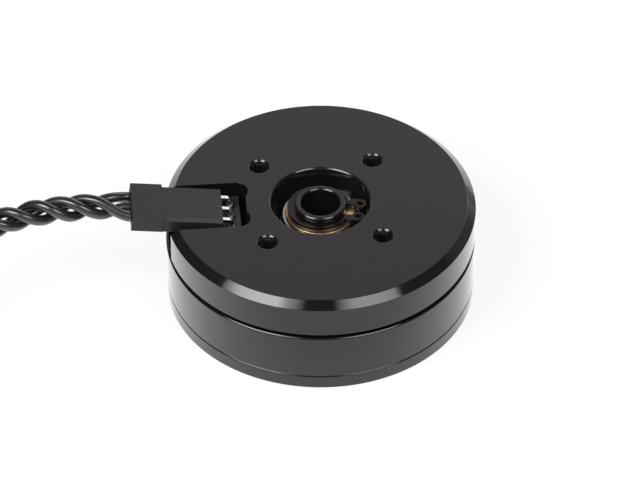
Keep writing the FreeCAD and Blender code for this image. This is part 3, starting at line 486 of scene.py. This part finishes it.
@dataclass
class Threads:
    """Screw threads in a circle of tapped holes."""

    name: str
    body: str
    slot: str
    facing: Facing
    face_mm: float
    circle_mm: float
    deep_mm: float
    holes: int = 4
    first: float = 45.0
    hole_mm: float = 3.0
    start_mm: float = 0.4
    pitch_mm: float = 0.5
    ridge_mm: float = 0.25
    flank: float = 30.0
    mouth_mm: float = 3.22
    sink_mm: float = 0.22
    turn_steps: int = 24
    cone_steps: int = 48
    sharp_angle: float = 40.0

    def build(self) -> bpy.types.Object:
        """Winds a ridge down each hole and sinks a cone into its mouth.

        Returns:
            The ridges and cones of all the holes as one piece.
        """
        tree, given = start_tree(f"{self.name}_tree", {
            "Holes": "NodeSocketInt", "Circle Radius": "NodeSocketFloat", "First Angle": "NodeSocketFloat",
            "Face": "NodeSocketFloat", "Turn Over": "NodeSocketFloat", "Bottom": "NodeSocketFloat",
            "Depth": "NodeSocketFloat", "Turns": "NodeSocketFloat", "Hole Radius": "NodeSocketFloat",
            "Ridge": "NodeSocketFloat", "Mouth Radius": "NodeSocketFloat", "Cone Radius": "NodeSocketFloat",
            "Cone Bottom": "NodeSocketFloat", "Cone Depth": "NodeSocketFloat"})
        line = add_node(tree, "GeometryNodeCurveSpiral", {
            "Resolution": self.turn_steps, "Rotations": given["Turns"], "Start Radius": given["Hole Radius"],
            "End Radius": given["Hole Radius"], "Height": given["Depth"], "Reverse": False})
        upright = add_node(tree, "GeometryNodeSetCurveNormal", {"Curve": line.outputs[0]}, mode="Z_UP")
        square = add_node(tree, "GeometryNodeCurvePrimitiveCircle", {
            "Resolution": 4, "Radius": given["Ridge"]})
        section = add_node(tree, "GeometryNodeTransform", {
            "Geometry": square.outputs[0], "Scale": (math.tan(math.radians(self.flank)), 1, 1)})
        ridge = add_node(tree, "GeometryNodeCurveToMesh", {
            "Curve": upright.outputs[0], "Profile Curve": section.outputs[0], "Fill Caps": True})
        cone = add_node(tree, "GeometryNodeMeshCone", {
            "Vertices": self.cone_steps, "Radius Top": given["Mouth Radius"],
            "Radius Bottom": given["Cone Radius"], "Depth": given["Cone Depth"]}, fill_type="NONE")
        lined = add_node(tree, "GeometryNodeJoinGeometry")
        for part, level in ((ridge, given["Bottom"]), (cone, given["Cone Bottom"])):
            below = add_node(tree, "ShaderNodeCombineXYZ", {"Z": level})
            sunk = add_node(tree, "GeometryNodeTransform", {
                "Geometry": part.outputs[0], "Translation": below.outputs[0]})
            tree.links.new(sunk.outputs[0], lined.inputs[0])
        over = add_node(tree, "ShaderNodeCombineXYZ", {"X": given["Turn Over"]})
        faced = add_node(tree, "GeometryNodeTransform", {
            "Geometry": lined.outputs[0], "Rotation": over.outputs[0]})
        spots = add_node(tree, "GeometryNodeMeshCircle", {
            "Vertices": given["Holes"], "Radius": given["Circle Radius"]})
        shift = add_node(tree, "ShaderNodeCombineXYZ", {"Z": given["Face"]})
        turn = add_node(tree, "ShaderNodeCombineXYZ", {"Z": given["First Angle"]})
        placed = add_node(tree, "GeometryNodeTransform", {
            "Geometry": spots.outputs[0], "Translation": shift.outputs[0], "Rotation": turn.outputs[0]})
        holes = add_node(tree, "GeometryNodeInstanceOnPoints", {
            "Points": placed.outputs[0], "Instance": faced.outputs[0]})
        end_tree(tree, holes.outputs[0], SLOT_FINISH[self.slot])
        depth = self.deep_mm - self.start_mm
        piece = grow(self.name, tree, {
            "Holes": self.holes, "Circle Radius": self.circle_mm / 2 * MM,
            "First Angle": math.radians(self.first), "Face": self.face_mm * MM,
            "Turn Over": self.facing.value, "Bottom": -self.deep_mm * MM, "Depth": depth * MM,
            "Turns": depth / self.pitch_mm, "Hole Radius": self.hole_mm / 2 * MM, "Ridge": self.ridge_mm * MM,
            "Mouth Radius": self.mouth_mm / 2 * MM, "Cone Radius": (self.mouth_mm / 2 - self.sink_mm) * MM,
            "Cone Bottom": -self.sink_mm * MM, "Cone Depth": self.sink_mm * MM})
        smooth(piece.data, self.sharp_angle)
        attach(piece, self.body)
        return piece


@dataclass
class WindingTurns:
    """The outer layer of wire round each stator tooth."""

    teeth: int = 24
    turns: int = 16
    inner_mm: float = 12.05
    pitch_mm: float = 0.44
    wire_mm: float = 0.4
    sink_mm: float = 0.1
    spacing_mm: float = 0.25
    low_mm: float = 2.05
    high_mm: float = 10.65
    corner_mm: float = 0.6
    wire_sides: int = 5

    def build(self) -> bpy.types.Object:
        """Lays the turns side by side on every winding, wider towards the outside.

        Returns:
            The turns of all the windings as one piece.
        """
        slope = math.tan(math.pi / self.teeth)
        edge = self.spacing_mm / 2 + self.sink_mm
        middle = self.inner_mm + self.pitch_mm * (self.turns - 1) / 2
        width = 2 * (middle * slope - edge)
        tree, given = start_tree("winding_turns_tree", {
            "Teeth": "NodeSocketInt", "Turns": "NodeSocketInt", "Inner Radius": "NodeSocketFloat",
            "Pitch": "NodeSocketFloat", "Wire Radius": "NodeSocketFloat", "Width": "NodeSocketFloat",
            "Height": "NodeSocketFloat", "Level": "NodeSocketFloat", "Corner": "NodeSocketFloat"})
        loop = add_node(tree, "GeometryNodeCurvePrimitiveQuadrilateral", {
            "Width": given["Width"], "Height": given["Height"]})
        rounded = add_node(tree, "GeometryNodeFilletCurve", {
            "Curve": loop.outputs[0], "Radius": given["Corner"], "Count": 1}, mode="POLY")
        upright = add_node(tree, "GeometryNodeTransform", {
            "Geometry": rounded.outputs[0], "Rotation": (math.pi / 2, 0, math.pi / 2)})
        section = add_node(tree, "GeometryNodeCurvePrimitiveCircle", {
            "Resolution": self.wire_sides, "Radius": given["Wire Radius"]})
        wire = add_node(tree, "GeometryNodeCurveToMesh", {
            "Curve": upright.outputs[0], "Profile Curve": section.outputs[0]})
        start = add_node(tree, "ShaderNodeCombineXYZ", {"X": given["Inner Radius"], "Z": given["Level"]})
        step = add_node(tree, "ShaderNodeCombineXYZ", {"X": given["Pitch"]})
        row = add_node(tree, "GeometryNodeMeshLine", {
            "Count": given["Turns"], "Start Location": start.outputs[0], "Offset": step.outputs[0]})
        place = add_node(tree, "GeometryNodeInputPosition")
        radius = add_node(tree, "ShaderNodeSeparateXYZ", {0: place.outputs[0]})
        share = add_node(tree, "ShaderNodeMath", {
            0: radius.outputs["X"], 1: 2 * slope / (width * MM), 2: -2 * edge / width},
            operation="MULTIPLY_ADD")
        scale = add_node(tree, "ShaderNodeCombineXYZ", {"X": 1.0, "Y": share.outputs[0], "Z": 1.0})
        winding = add_node(tree, "GeometryNodeInstanceOnPoints", {
            "Points": row.outputs[0], "Instance": wire.outputs[0], "Scale": scale.outputs[0]})
        hubs = add_node(tree, "GeometryNodePoints", {"Count": given["Teeth"]})
        number = add_node(tree, "GeometryNodeInputIndex")
        angle = add_node(tree, "ShaderNodeMath", {
            0: number.outputs[0], 1: 2 * math.pi / self.teeth}, operation="MULTIPLY")
        turn = add_node(tree, "ShaderNodeCombineXYZ", {"Z": angle.outputs[0]})
        windings = add_node(tree, "GeometryNodeInstanceOnPoints", {
            "Points": hubs.outputs[0], "Instance": winding.outputs[0], "Rotation": turn.outputs[0]})
        end_tree(tree, windings.outputs[0], ENAMEL)
        piece = grow("winding_turns", tree, {
            "Teeth": self.teeth, "Turns": self.turns, "Inner Radius": self.inner_mm * MM,
            "Pitch": self.pitch_mm * MM, "Wire Radius": self.wire_mm / 2 * MM, "Width": width * MM,
            "Height": (self.high_mm - self.low_mm - 2 * self.sink_mm) * MM,
            "Level": (self.low_mm + self.high_mm) / 2 * MM, "Corner": self.corner_mm * MM})
        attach(piece, "stator")
        return piece


@dataclass
class Lead:
    """Three twisted wires from the plug in the motor to the plug at their far end."""

    # Out of the motor's plug and down to the coil
    exit_mm: tuple[float, float, float] = (-29.318, 0.0, 17.971)
    first_run_mm: float = 7.2
    tilt: float = 7.25
    route_mm: tuple[tuple[float, float, float], ...] = (
        (-50.44, -0.98, 17.64), (-56.96, -4.77, 14.44), (-62.52, -8.98, 8.29), (-68.24, -14.03, 3.3))
    # The wires: their thickness, twist and its start in degrees, how they open at the plugs, and their sway
    bundle_mm: float = 4.2
    wire_mm: float = 1.65
    lay_mm: float = 12.4
    lay_start: float = 87.6
    opening_mm: float = 7.0
    pitch_mm: float = 2.3
    fan_mm: float = 5.0
    loose: float = 14.0
    loose_mm: tuple[float, float, float] = (23.0, 31.0, 27.0)
    # The coil, with its angles in degrees
    coil_centre_mm: tuple[float, float] = (-88.5, 0.0)
    turn_radius_mm: float = 23.8
    top_radius_mm: float = 18.2
    floor_mm: float = 0.6
    coil_start: float = -48.7
    top_start: float = -68.7
    top_angle: float = 180.0
    coil_step: float = 14.0
    coil_steps: int = 52
    climb_steps: int = 5
    top_steps: int = 15
    # How finely lines and wires are drawn
    line_steps: int = 24
    wire_steps: int = 3
    sharp_angle: float = 50.0

    def centreline(self) -> list[Vector]:
        """Reads the lead's line from a spline through its route and coil.

        Returns:
            Points in metres from the motor's plug to the far plug.
        """
        curve = bpy.data.curves.new("lead_line", "CURVE")
        curve.dimensions = "3D"
        spline = curve.splines.new("NURBS")
        points = self._route() + self._coil()
        spline.points.add(len(points) - 1)
        for spot, point in zip(points, spline.points):
            point.co = (*(spot * MM), 1.0)
        spline.order_u = 3
        spline.use_endpoint_u = True
        curve.resolution_u = self.line_steps
        mesh = curve_mesh(curve)
        spots = [vertex.co.copy() for vertex in mesh.vertices]
        bpy.data.meshes.remove(mesh)
        return spots

    def _route(self) -> list[Vector]:
        """Lays the free stretch, with its first run straight out of the plug.

        Returns:
            Its points in millimetres.
        """
        tilt = math.radians(self.tilt)
        start = Vector(self.exit_mm)
        outwards = Vector((-math.cos(tilt), 0, math.sin(tilt)))
        return [start, start + outwards * self.first_run_mm] + [Vector(spot) for spot in self.route_mm]

    def _coil(self) -> list[Vector]:
        """Lays the coil: two turns side by side, then part of a turn on top of them.

        Returns:
            Its points in millimetres.
        """
        low = self.floor_mm + self.bundle_mm / 2
        points = []
        for step in range(1, self.coil_steps + 1):
            turned = step * self.coil_step
            radius = self.turn_radius_mm - self.bundle_mm * turned / 360
            points.append(self._on_coil(self.coil_start - turned, radius, low))
        begin = self.coil_start - turned
        end = self.top_start - self.top_angle - 2 * 360
        for step in range(1, self.top_steps + 1):
            risen = eased(min(step / self.climb_steps, 1.0))
            angle = begin + (end - begin) * step / self.top_steps
            inwards = (self.top_radius_mm - radius) * risen
            points.append(self._on_coil(angle, radius + inwards, low + self.bundle_mm * risen))
        return points

    def _on_coil(self, angle: float, radius: float, height: float) -> Vector:
        """Gives a point of the coil from its angle in degrees, radius and height."""
        turn = math.radians(angle)
        return Vector((self.coil_centre_mm[0] + radius * math.cos(turn),
                       self.coil_centre_mm[1] + radius * math.sin(turn), height))

    def strands(self, line: list[Vector]) -> list[list[Vector]]:
        """Winds three wires loosely round the lead's line and spreads them into the plugs' cavities.

        Args:
            line: the lead's centreline.

        Returns:
            One list of points for each wire.
        """
        along = [0.0]
        for before, after in zip(line, line[1:]):
            along.append(along[-1] + (after - before).length)
        total = along[-1]
        wind = (self.bundle_mm - self.wire_mm) / 2 * MM
        side = Vector((0, 1, 0))
        twisted: list[list[Vector]] = []
        flat: list[Vector] = []
        for number, place in enumerate(along):
            ahead = (line[min(number + 1, len(line) - 1)] - line[max(number - 1, 0)]).normalized()
            side = (side - ahead * side.dot(ahead)).normalized()
            up = ahead.cross(side)
            flat.append(Vector((0, 0, 1)).cross(ahead).normalized())
            turns = self._turns(place, total)
            twisted.append([(side * math.cos(turn) + up * math.sin(turn)) * wind for turn in turns])
        numbers = range(len(self.loose_mm))
        first, last = [sorted(numbers, key=lambda wire: twisted[end][wire].dot(flat[end])) for end in (0, -1)]
        wires: list[list[Vector]] = [[] for _ in numbers]
        for number, place in enumerate(along):
            near = self._together(min(place, total - place))
            order = first if place < total / 2 else last
            for wire in numbers:
                spread = flat[number] * (order.index(wire) - 1) * self.pitch_mm * MM
                wires[wire].append(line[number] + twisted[number][wire] * near + spread * (1 - near))
        return wires

    def _turns(self, place: float, total: float) -> list[float]:
        """Turns the wires round the lead's line, each a little unevenly.

        Args:
            place: a place along the line.
            total: the line's length.

        Returns:
            The angle of each wire there in radians.
        """
        laid = self._laid(place, total) / (self.lay_mm * MM)
        turns = []
        for wire, wave in enumerate(self.loose_mm):
            apart = wire / len(self.loose_mm)
            sway = self.loose * math.sin(2 * math.pi * (place / (wave * MM) + apart))
            turns.append(2 * math.pi * (laid + apart) + math.radians(self.lay_start + sway))
        return turns

    def _laid(self, place: float, total: float) -> float:
        """Measures how much of the line up to a place is twisted, as the twist opens towards both plugs.

        Args:
            place: a place along the line.
            total: the line's length.

        Returns:
            The length that would hold as much of the full twist.
        """
        opening = self.opening_mm * MM
        away = min(place, total - place)
        laid = away * away / (2 * opening) if away < opening else away - opening / 2
        return laid if place < total / 2 else total - opening - laid

    def _together(self, distance: float) -> float:
        """Gives 0 at a plug and 1 where the wires lie twisted together."""
        return eased(min(max(distance / (self.fan_mm * MM), 0.0), 1.0))

    def build(self) -> bpy.types.Object:
        """Returns:
            The wires' piece.
        """
        line = self.centreline()
        curve = bpy.data.curves.new("lead_wires", "CURVE")
        curve.dimensions = "3D"
        for wire in self.strands(line):
            spline = curve.splines.new("POLY")
            spline.points.add(len(wire) - 1)
            for spot, point in zip(wire, spline.points):
                point.co = (*spot, 1.0)
        curve.bevel_depth = self.wire_mm / 2 * MM
        curve.bevel_resolution = self.wire_steps
        curve.use_fill_caps = True
        mesh = curve_mesh(curve)
        piece = new_piece("lead_wires", mesh, INSULATION)
        smooth(mesh, self.sharp_angle)
        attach(piece, "lead")
        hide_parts("lead_tube", "lead_coil")
        return piece


def arm(angle: float, length: float) -> Vector:
    """Gives a flat step of a length at an angle in radians."""
    return Vector((math.cos(angle), math.sin(angle))) * length


@dataclass
class CoilTie:
    """A woven strap drawn tight round the turns of the lead's coil."""

    angle: float = 200.0
    width_mm: float = 5.0
    thick_mm: float = 0.5
    play_mm: float = 0.05
    tail_mm: float = 4.5
    bend_steps: int = 10
    edge_mm: float = 0.1
    sharp_angle: float = 50.0

    def build(self, lead: Lead) -> bpy.types.Object:
        """Wraps the strap round the coil and lays its end over itself.

        Args:
            lead: the lead that it holds together.

        Returns:
            The strap's piece.
        """
        centre = Vector((*lead.coil_centre_mm, 0.0))
        turn = Matrix.Rotation(math.radians(self.angle), 3, "Z")
        outwards, across = turn.col[0], turn.col[1]
        line = [spot / MM - centre for spot in lead.centreline()]
        turns = [Vector((before.dot(outwards), before.z)) for before, after in zip(line, line[1:])
                 if before.dot(outwards) > 0 and before.dot(across) * after.dot(across) <= 0]
        shape = bmesh.new()
        rows = []
        for reach, height in self._path(turns, lead.bundle_mm / 2):
            spot = centre + outwards * reach + Vector((0, 0, height))
            edges = [spot + across * side * self.width_mm for side in (-0.5, 0.5)]
            rows.append([shape.verts.new(place * MM) for place in edges])
        for before, after in zip(rows, rows[1:]):
            shape.faces.new((*before, *reversed(after)))
        mesh = bpy.data.meshes.new("coil_tie_dressed")
        shape.to_mesh(mesh)
        shape.free()
        piece = new_piece("coil_tie_dressed", mesh, STRAP)
        strap = piece.modifiers.new("strap", "SOLIDIFY")
        strap.thickness = self.thick_mm * MM
        strap.offset = 0
        strap.use_even_offset = True
        edge = piece.modifiers.new("soft_edge", "BEVEL")
        edge.width = self.edge_mm * MM
        edge.segments = 2
        edge.angle_limit = math.radians(self.sharp_angle)
        bake_modifiers(piece)
        smooth(piece.data, self.sharp_angle)
        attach(piece, "lead")
        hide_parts("coil_tie")
        return piece

    def _path(self, turns: list[Vector], radius: float) -> list[Vector]:
        """Draws the strap's middle line.

        It runs from the top down the outside, under the coil, up its inside and over its own start.

        Args:
            turns: the places of the coil's turns, out from its axis and up.
            radius: half the thickness of a turn.

        Returns:
            Points out from the coil's axis and up.
        """
        middle = sum(turns, Vector((0, 0))) / len(turns)
        ring = sorted(turns, key=lambda spot: math.atan2(*(spot - middle).yx), reverse=True)
        top = ring.index(max(ring, key=lambda spot: spot.y))
        ring = ring[top + 1:] + ring[:top + 1]
        sides = [(ring[index] - ring[index - 1]).normalized() for index in range(len(ring))]
        leans = [math.atan2(side.x, -side.y) for side in sides]
        reach = radius + self.play_mm + self.thick_mm / 2
        path = [ring[-1] + arm(leans[0], reach)]
        for index, spot in enumerate(ring):
            last = index == len(ring) - 1
            bend = (leans[index] - leans[(index + 1) % len(ring)]) % (2 * math.pi)
            for step in range(self.bend_steps + 1):
                share = step / self.bend_steps
                lift = last * share * self.thick_mm
                path.append(spot + arm(leans[index] - bend * share, reach + lift))
        path.append(path[-1] + sides[0] * self.tail_mm)
        return path


def towards(azimuth: float, elevation: float) -> Vector:
    """Gives the way to a point of the studio from its azimuth, 0 to the front, and elevation in degrees."""
    turn, lift = math.radians(azimuth), math.radians(elevation)
    return Vector((math.sin(turn) * math.cos(lift), -math.cos(turn) * math.cos(lift), math.sin(lift)))


@dataclass
class Softbox:
    """A long studio softbox, placed by where its two ends stand as seen from the motor.

    Ends are azimuth and elevation in degrees. A grade gives the brightness of places along the box.
    """

    name: str
    start: tuple[float, float]
    end: tuple[float, float]
    wide: float
    watts: float
    grade: tuple[tuple[float, float], ...] = ((0.0, 1.0), (1.0, 1.0))
    distance: float = 0.6

    def build(self, front: float) -> None:
        """Hangs the softbox facing the motor.

        Args:
            front: azimuth of the camera in degrees.
        """
        ends = [towards(front + azimuth, elevation) for azimuth, elevation in (self.start, self.end)]
        away = (ends[0] + ends[1]).normalized()
        along = (ends[1] - ends[0]).normalized()
        lamp = bpy.data.lights.new(self.name, "AREA")
        lamp.shape = "RECTANGLE"
        lamp.size = 2 * self.distance * math.tan(ends[0].angle(ends[1]) / 2)
        lamp.size_y = 2 * self.distance * math.tan(math.radians(self.wide / 2))
        lamp.energy = self.watts
        self._grade(lamp)
        box = add_object(self.name, lamp)
        box.location = away * self.distance
        box.rotation_euler = Matrix((along, away.cross(along), away)).transposed().to_euler()

    def _grade(self, lamp: bpy.types.Light) -> None:
        """Makes the cloth brighter and dimmer along the box.

        Args:
            lamp: the box's lamp.
        """
        tree = fresh_tree(lamp)
        place = add_node(tree, "ShaderNodeNewGeometry").outputs["Parametric"]
        along = add_node(tree, "ShaderNodeSeparateXYZ", {0: place}).outputs["X"]
        lit = ramp(tree, along, [(spot, grey(share)) for spot, share in self.grade])
        light = add_node(tree, "ShaderNodeEmission", {"Strength": lit})
        add_node(tree, "ShaderNodeOutputLight", {"Surface": light.outputs[0]})


@dataclass
class Studio:
    """Camera, white floor, surroundings and softboxes."""

    # The camera, with its azimuth and elevation in degrees
    turn: float = -4.8
    elevation: float = 42.02
    distance_mm: float = 681.2
    aim_mm: tuple[float, float, float] = (0.0, 0.0, 6.83)
    focal_px: float = 4371.0
    sensor_mm: float = 36.0
    # The floor, and how brightly mirrors show it near the motor and further out on the camera's side; the
    # dimmer glow further out is painted shade that only mirrors show
    floor_m: float = 6.0
    floor_mm: float = -0.02
    floor_colour: str = "#848484"
    floor_glow: float = 0.85
    mirrored_glow: tuple[float, float] = (1.0, 0.67)
    mirrored_turn: float = 12.0
    mirrored_fade_mm: tuple[float, float] = (8.0, 34.0)
    # The walls' colour by height, how much of them shows from the front round to the back, and the room
    sky: tuple[tuple[float, str], ...] = (
        (0.0, "#d7d2d6"), (0.5, "#cdc9cc"), (0.64, "#c4bfc3"), (0.69, "#aeaaad"), (0.8, "#3c3a3c"),
        (0.86, "#242324"))
    walls: tuple[tuple[float, float], ...] = ((0.1, 0.45), (0.28, 0.0), (0.82, 0.0), (0.96, 1.0))
    room: str = "#4c494b"
    boxes: list[Softbox] = field(default_factory=lambda: [
        Softbox("left_softbox", (-74, 40), (-16, 53.5), 24, 2.78,
                ((0.0, 0.15), (0.21, 0.8), (0.45, 1.0), (0.69, 1.0), (0.82, 0.45), (1.0, 0.1))),
        Softbox("right_softbox", (10, 54), (70, 41), 24, 1.58,
                ((0.03, 0.0), (0.26, 0.92), (0.4, 1.0), (0.62, 0.9), (0.76, 0.75), (0.84, 0.0))),
        Softbox("back_softbox", (148, 34), (170, 40), 14, 0.18),
        Softbox("right_fill", (100, 34), (138, 8), 16, 0.075,
                ((0.0, 0.1), (0.2, 0.55), (0.6, 0.55), (1.0, 1.0))),
    ])

    def build(self) -> None:
        """Sets up everything that isn't the motor."""
        self._camera()
        self._floor()
        self._surroundings()
        for box in self.boxes:
            box.build(self.turn)
        bpy.context.scene.view_settings.view_transform = "Standard"

    def _camera(self) -> None:
        """Places the camera where the photograph was taken from."""
        data = bpy.data.cameras.new("camera")
        data.sensor_width = self.sensor_mm
        data.lens = self.focal_px * self.sensor_mm / IMAGE_WIDTH
        camera = add_object("camera", data)
        away = towards(self.turn, self.elevation)
        camera.location = (Vector(self.aim_mm) + away * self.distance_mm) * MM
        camera.rotation_euler = away.to_track_quat("Z", "Y").to_euler()
        bpy.context.scene.camera = camera

    def _floor(self) -> None:
        """Lays a white floor that keeps the motor's shadow; mirrors show it a little darker on the camera's
        side, which is painted shade.
        """
        half, low = self.floor_m / 2, self.floor_mm * MM
        mesh = bpy.data.meshes.new("floor")
        corners = [(-half, -half, low), (half, -half, low), (half, half, low), (-half, half, low)]
        mesh.from_pydata(corners, [], [(0, 1, 2, 3)])
        material = bpy.data.materials.new("white_paper_floor")
        tree = fresh_tree(material)
        path = add_node(tree, "ShaderNodeLightPath")
        place = add_node(tree, "ShaderNodeTexCoord").outputs["Object"]
        # Painted shade: mirrors see the floor glow dimmer further out on the camera's side
        nearness = add_node(tree, "ShaderNodeVectorMath", {
            0: place, 1: towards(self.turn + self.mirrored_turn, 0)}, operation="DOT_PRODUCT")
        fade = add_node(tree, "ShaderNodeMapRange", {
            "Value": nearness.outputs["Value"], "From Min": self.mirrored_fade_mm[0] * MM,
            "From Max": self.mirrored_fade_mm[1] * MM, "To Min": self.mirrored_glow[0],
            "To Max": self.mirrored_glow[1]})
        mirrored = add_node(tree, "ShaderNodeMath", {
            0: path.outputs["Is Glossy Ray"], 1: path.outputs["Is Transmission Ray"]}, operation="MAXIMUM")
        faded = add_node(tree, "ShaderNodeMath", {
            0: mirrored.outputs[0], 1: fade.outputs["Result"]}, operation="MULTIPLY")
        glow = add_node(tree, "ShaderNodeMath", {
            0: path.outputs["Is Camera Ray"], 1: self.floor_glow, 2: faded.outputs[0]},
            operation="MULTIPLY_ADD").outputs[0]
        paper = add_node(tree, "ShaderNodeBsdfDiffuse", {"Color": linear(self.floor_colour)})
        light = add_node(tree, "ShaderNodeEmission", {"Strength": glow})
        both = add_node(tree, "ShaderNodeAddShader", {0: paper.outputs[0], 1: light.outputs[0]})
        add_node(tree, "ShaderNodeOutputMaterial", {"Surface": both.outputs[0]})
        mesh.materials.append(material)
        floor = add_object("floor", mesh)

    def _surroundings(self) -> None:
        """Makes a dim room, a pale wall behind the motor and a weaker one in front, darker higher up."""
        world = bpy.data.worlds.new("studio")
        tree = fresh_tree(world)
        way = add_node(tree, "ShaderNodeTexCoord").outputs["Generated"]
        height = add_node(tree, "ShaderNodeSeparateXYZ", {0: way}).outputs["Z"]
        pale = ramp(tree, height, [(place, linear(colour)) for place, colour in self.sky])
        flat = add_node(tree, "ShaderNodeVectorMath", {0: way, 1: (1, 1, 0)}, operation="MULTIPLY")
        level = add_node(tree, "ShaderNodeVectorMath", {0: flat.outputs[0]}, operation="NORMALIZE")
        behind = add_node(tree, "ShaderNodeVectorMath", {
            0: level.outputs[0], 1: -towards(self.turn, 0)}, operation="DOT_PRODUCT")
        share = add_node(tree, "ShaderNodeMath", {
            0: behind.outputs["Value"], 1: 0.5, 2: 0.5}, operation="MULTIPLY_ADD")
        around = ramp(tree, share.outputs[0], [(place, grey(lit)) for place, lit in self.walls])
        colour = add_node(tree, "ShaderNodeMix", {0: around, 6: linear(self.room), 7: pale}, data_type="RGBA")
        light = add_node(tree, "ShaderNodeBackground", {"Color": colour.outputs[2]})
        add_node(tree, "ShaderNodeOutputWorld", {"Surface": light.outputs[0]})
        bpy.context.scene.world = world


# The base's slot for the plug, whose faces get the matt finish with painted shade
SLOT = Pocket((-22.0, -5.6, 11.5), (-10.5, 5.6, 17.05), MILLED_AND_SHADED)
DRESSED = (
    DressedNode("stator_base", 0.05, pocket=SLOT), DressedNode("flux_ring", 0.03),
    DressedNode("rotor_end_cap", 0.03), DressedNode("hollow_shaft", 0.03), DressedNode("shim_washer", 0.1),
    DressedNode("retaining_ring", 0.07), DressedNode("terminal_board", 0.04),
    DressedNode("header_pins", 0.08), DressedNode("plug_housing", 0.1), DressedNode("end_plug_housing", 0.1),
    DressedNode("upper_bearing_outer_ring", 0.04), DressedNode("upper_bearing_shields", 0.03),
    DressedNode("solder_joints", 0.15, 3),
)
GROWN = (
    Threads("stator_threads", "stator", "dark_anodised", Facing.UP, 17.1, 25.0, 5.8),
    Threads("rotor_threads", "rotor", "dark_anodised", Facing.DOWN, 0.0, 19.0, 2.7),
    WindingTurns(),
)


def main() -> None:
    """Builds the studio and the motor, piece by piece."""
    logging.basicConfig(level=logging.INFO, format="%(name)s: %(message)s")
    for name, node in frame["nodes"].items():
        node.data.materials.clear()
        node.data.materials.append(SLOT_FINISH[NODE_SLOT[name]].material())
    Studio().build()
    for dressed in DRESSED:
        log.info("%s: %d faces", dressed.node, len(dressed.build().data.polygons))
    for grown in GROWN:
        piece = grown.build()
        log.info("%s: %d faces", piece.name, len(piece.data.polygons))
    lead = Lead()
    log.info("coil tie: %d faces", len(CoilTie().build(lead).data.polygons))
    lead.build()


if __name__ == "__main__":
    main()
